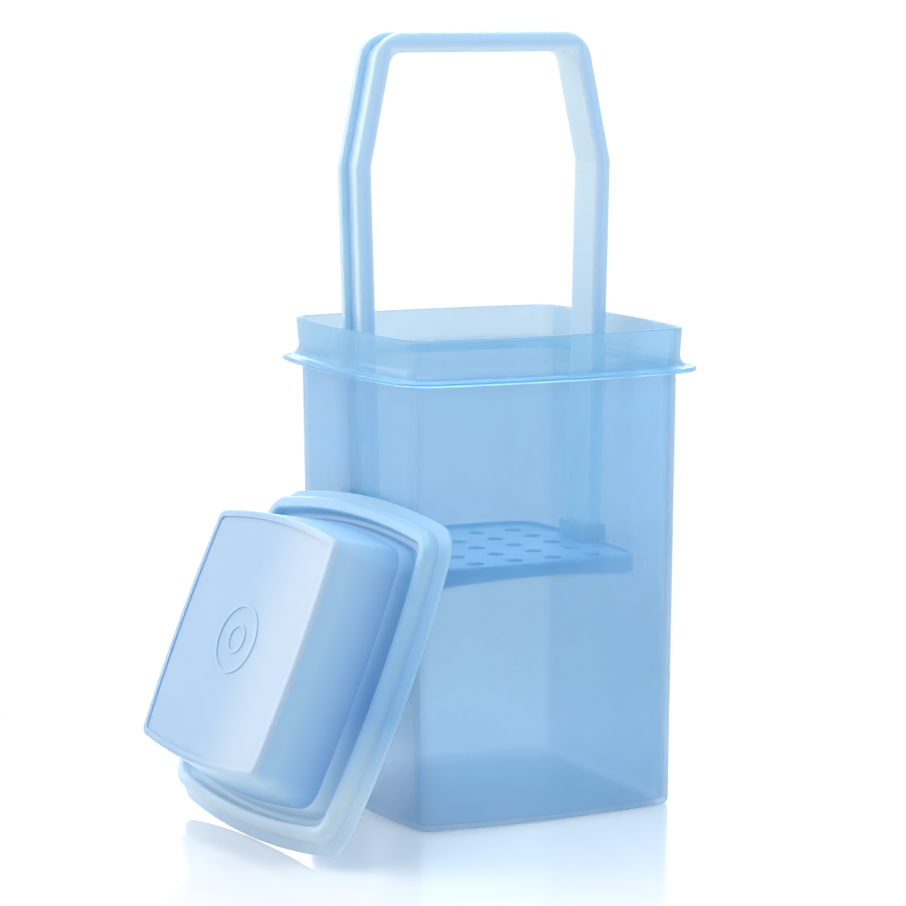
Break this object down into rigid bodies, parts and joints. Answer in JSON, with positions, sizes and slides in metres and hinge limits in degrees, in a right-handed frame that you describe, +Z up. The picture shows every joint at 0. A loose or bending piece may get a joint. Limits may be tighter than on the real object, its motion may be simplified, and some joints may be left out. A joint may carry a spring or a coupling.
{
  "type": "pickle keeper with lift strainer",
  "caption": "Tall square food keeper with a lift-out strainer on a high bail handle and a deep domed clip-on lid, leaning beside it.",
  "frame": {"origin": "middle of the container's underside, where it stands", "axes": "+Z up, +X along the container's wide front wall to the right, so the lid leans on the left wall; +Y to the back"},
  "size_m": [0.2054, 0.16, 0.2934],
  "materials": {
    "container_shell": "translucent sky-blue polypropylene, smooth",
    "strainer_shell": "translucent sky-blue polypropylene, smooth",
    "handle_shell": "translucent pale-blue polypropylene, smooth",
    "lid_shell": "cloudy pale-blue polyethylene, satin"
  },
  "bodies": {
    "container": {"container": "container_shell"},
    "strainer": {"strainer_tray": "strainer_shell", "lift_handle": "handle_shell"},
    "lid": {"lid": "lid_shell"}
  },
  "joints": [
    {"name": "strainer_lift", "type": "slide", "parent": "container", "child": "strainer", "axis": [0, 0, 1], "range_m": [-0.0868, 0.11]},
    {"name": "lid_draw_away", "type": "slide", "parent": "container", "child": "lid", "axis": [-1, 0, 0], "range_m": [0, 0.12]}
  ]
}
